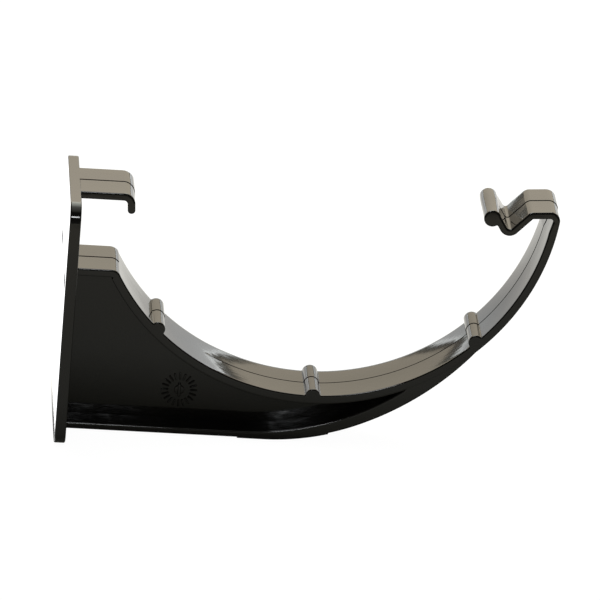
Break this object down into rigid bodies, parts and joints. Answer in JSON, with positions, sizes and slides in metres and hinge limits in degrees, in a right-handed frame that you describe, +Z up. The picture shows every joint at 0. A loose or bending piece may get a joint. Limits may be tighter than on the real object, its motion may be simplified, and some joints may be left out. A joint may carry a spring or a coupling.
{
  "type": "gutter bracket",
  "caption": "Black moulded fascia bracket for a half-round rain gutter, with a rear hook, a curved band and a springy front clip.",
  "frame": {"origin": "midway between the two screw holes, on the face that lies against the fascia", "axes": "+X away from the fascia, +Y along the gutter, +Z up"},
  "size_m": [0.1252, 0.04, 0.0671],
  "materials": {
    "black_pvc": "glossy as moulded"
  },
  "bodies": {
    "root": {"bracket": "black_pvc"}
  },
  "joints": []
}
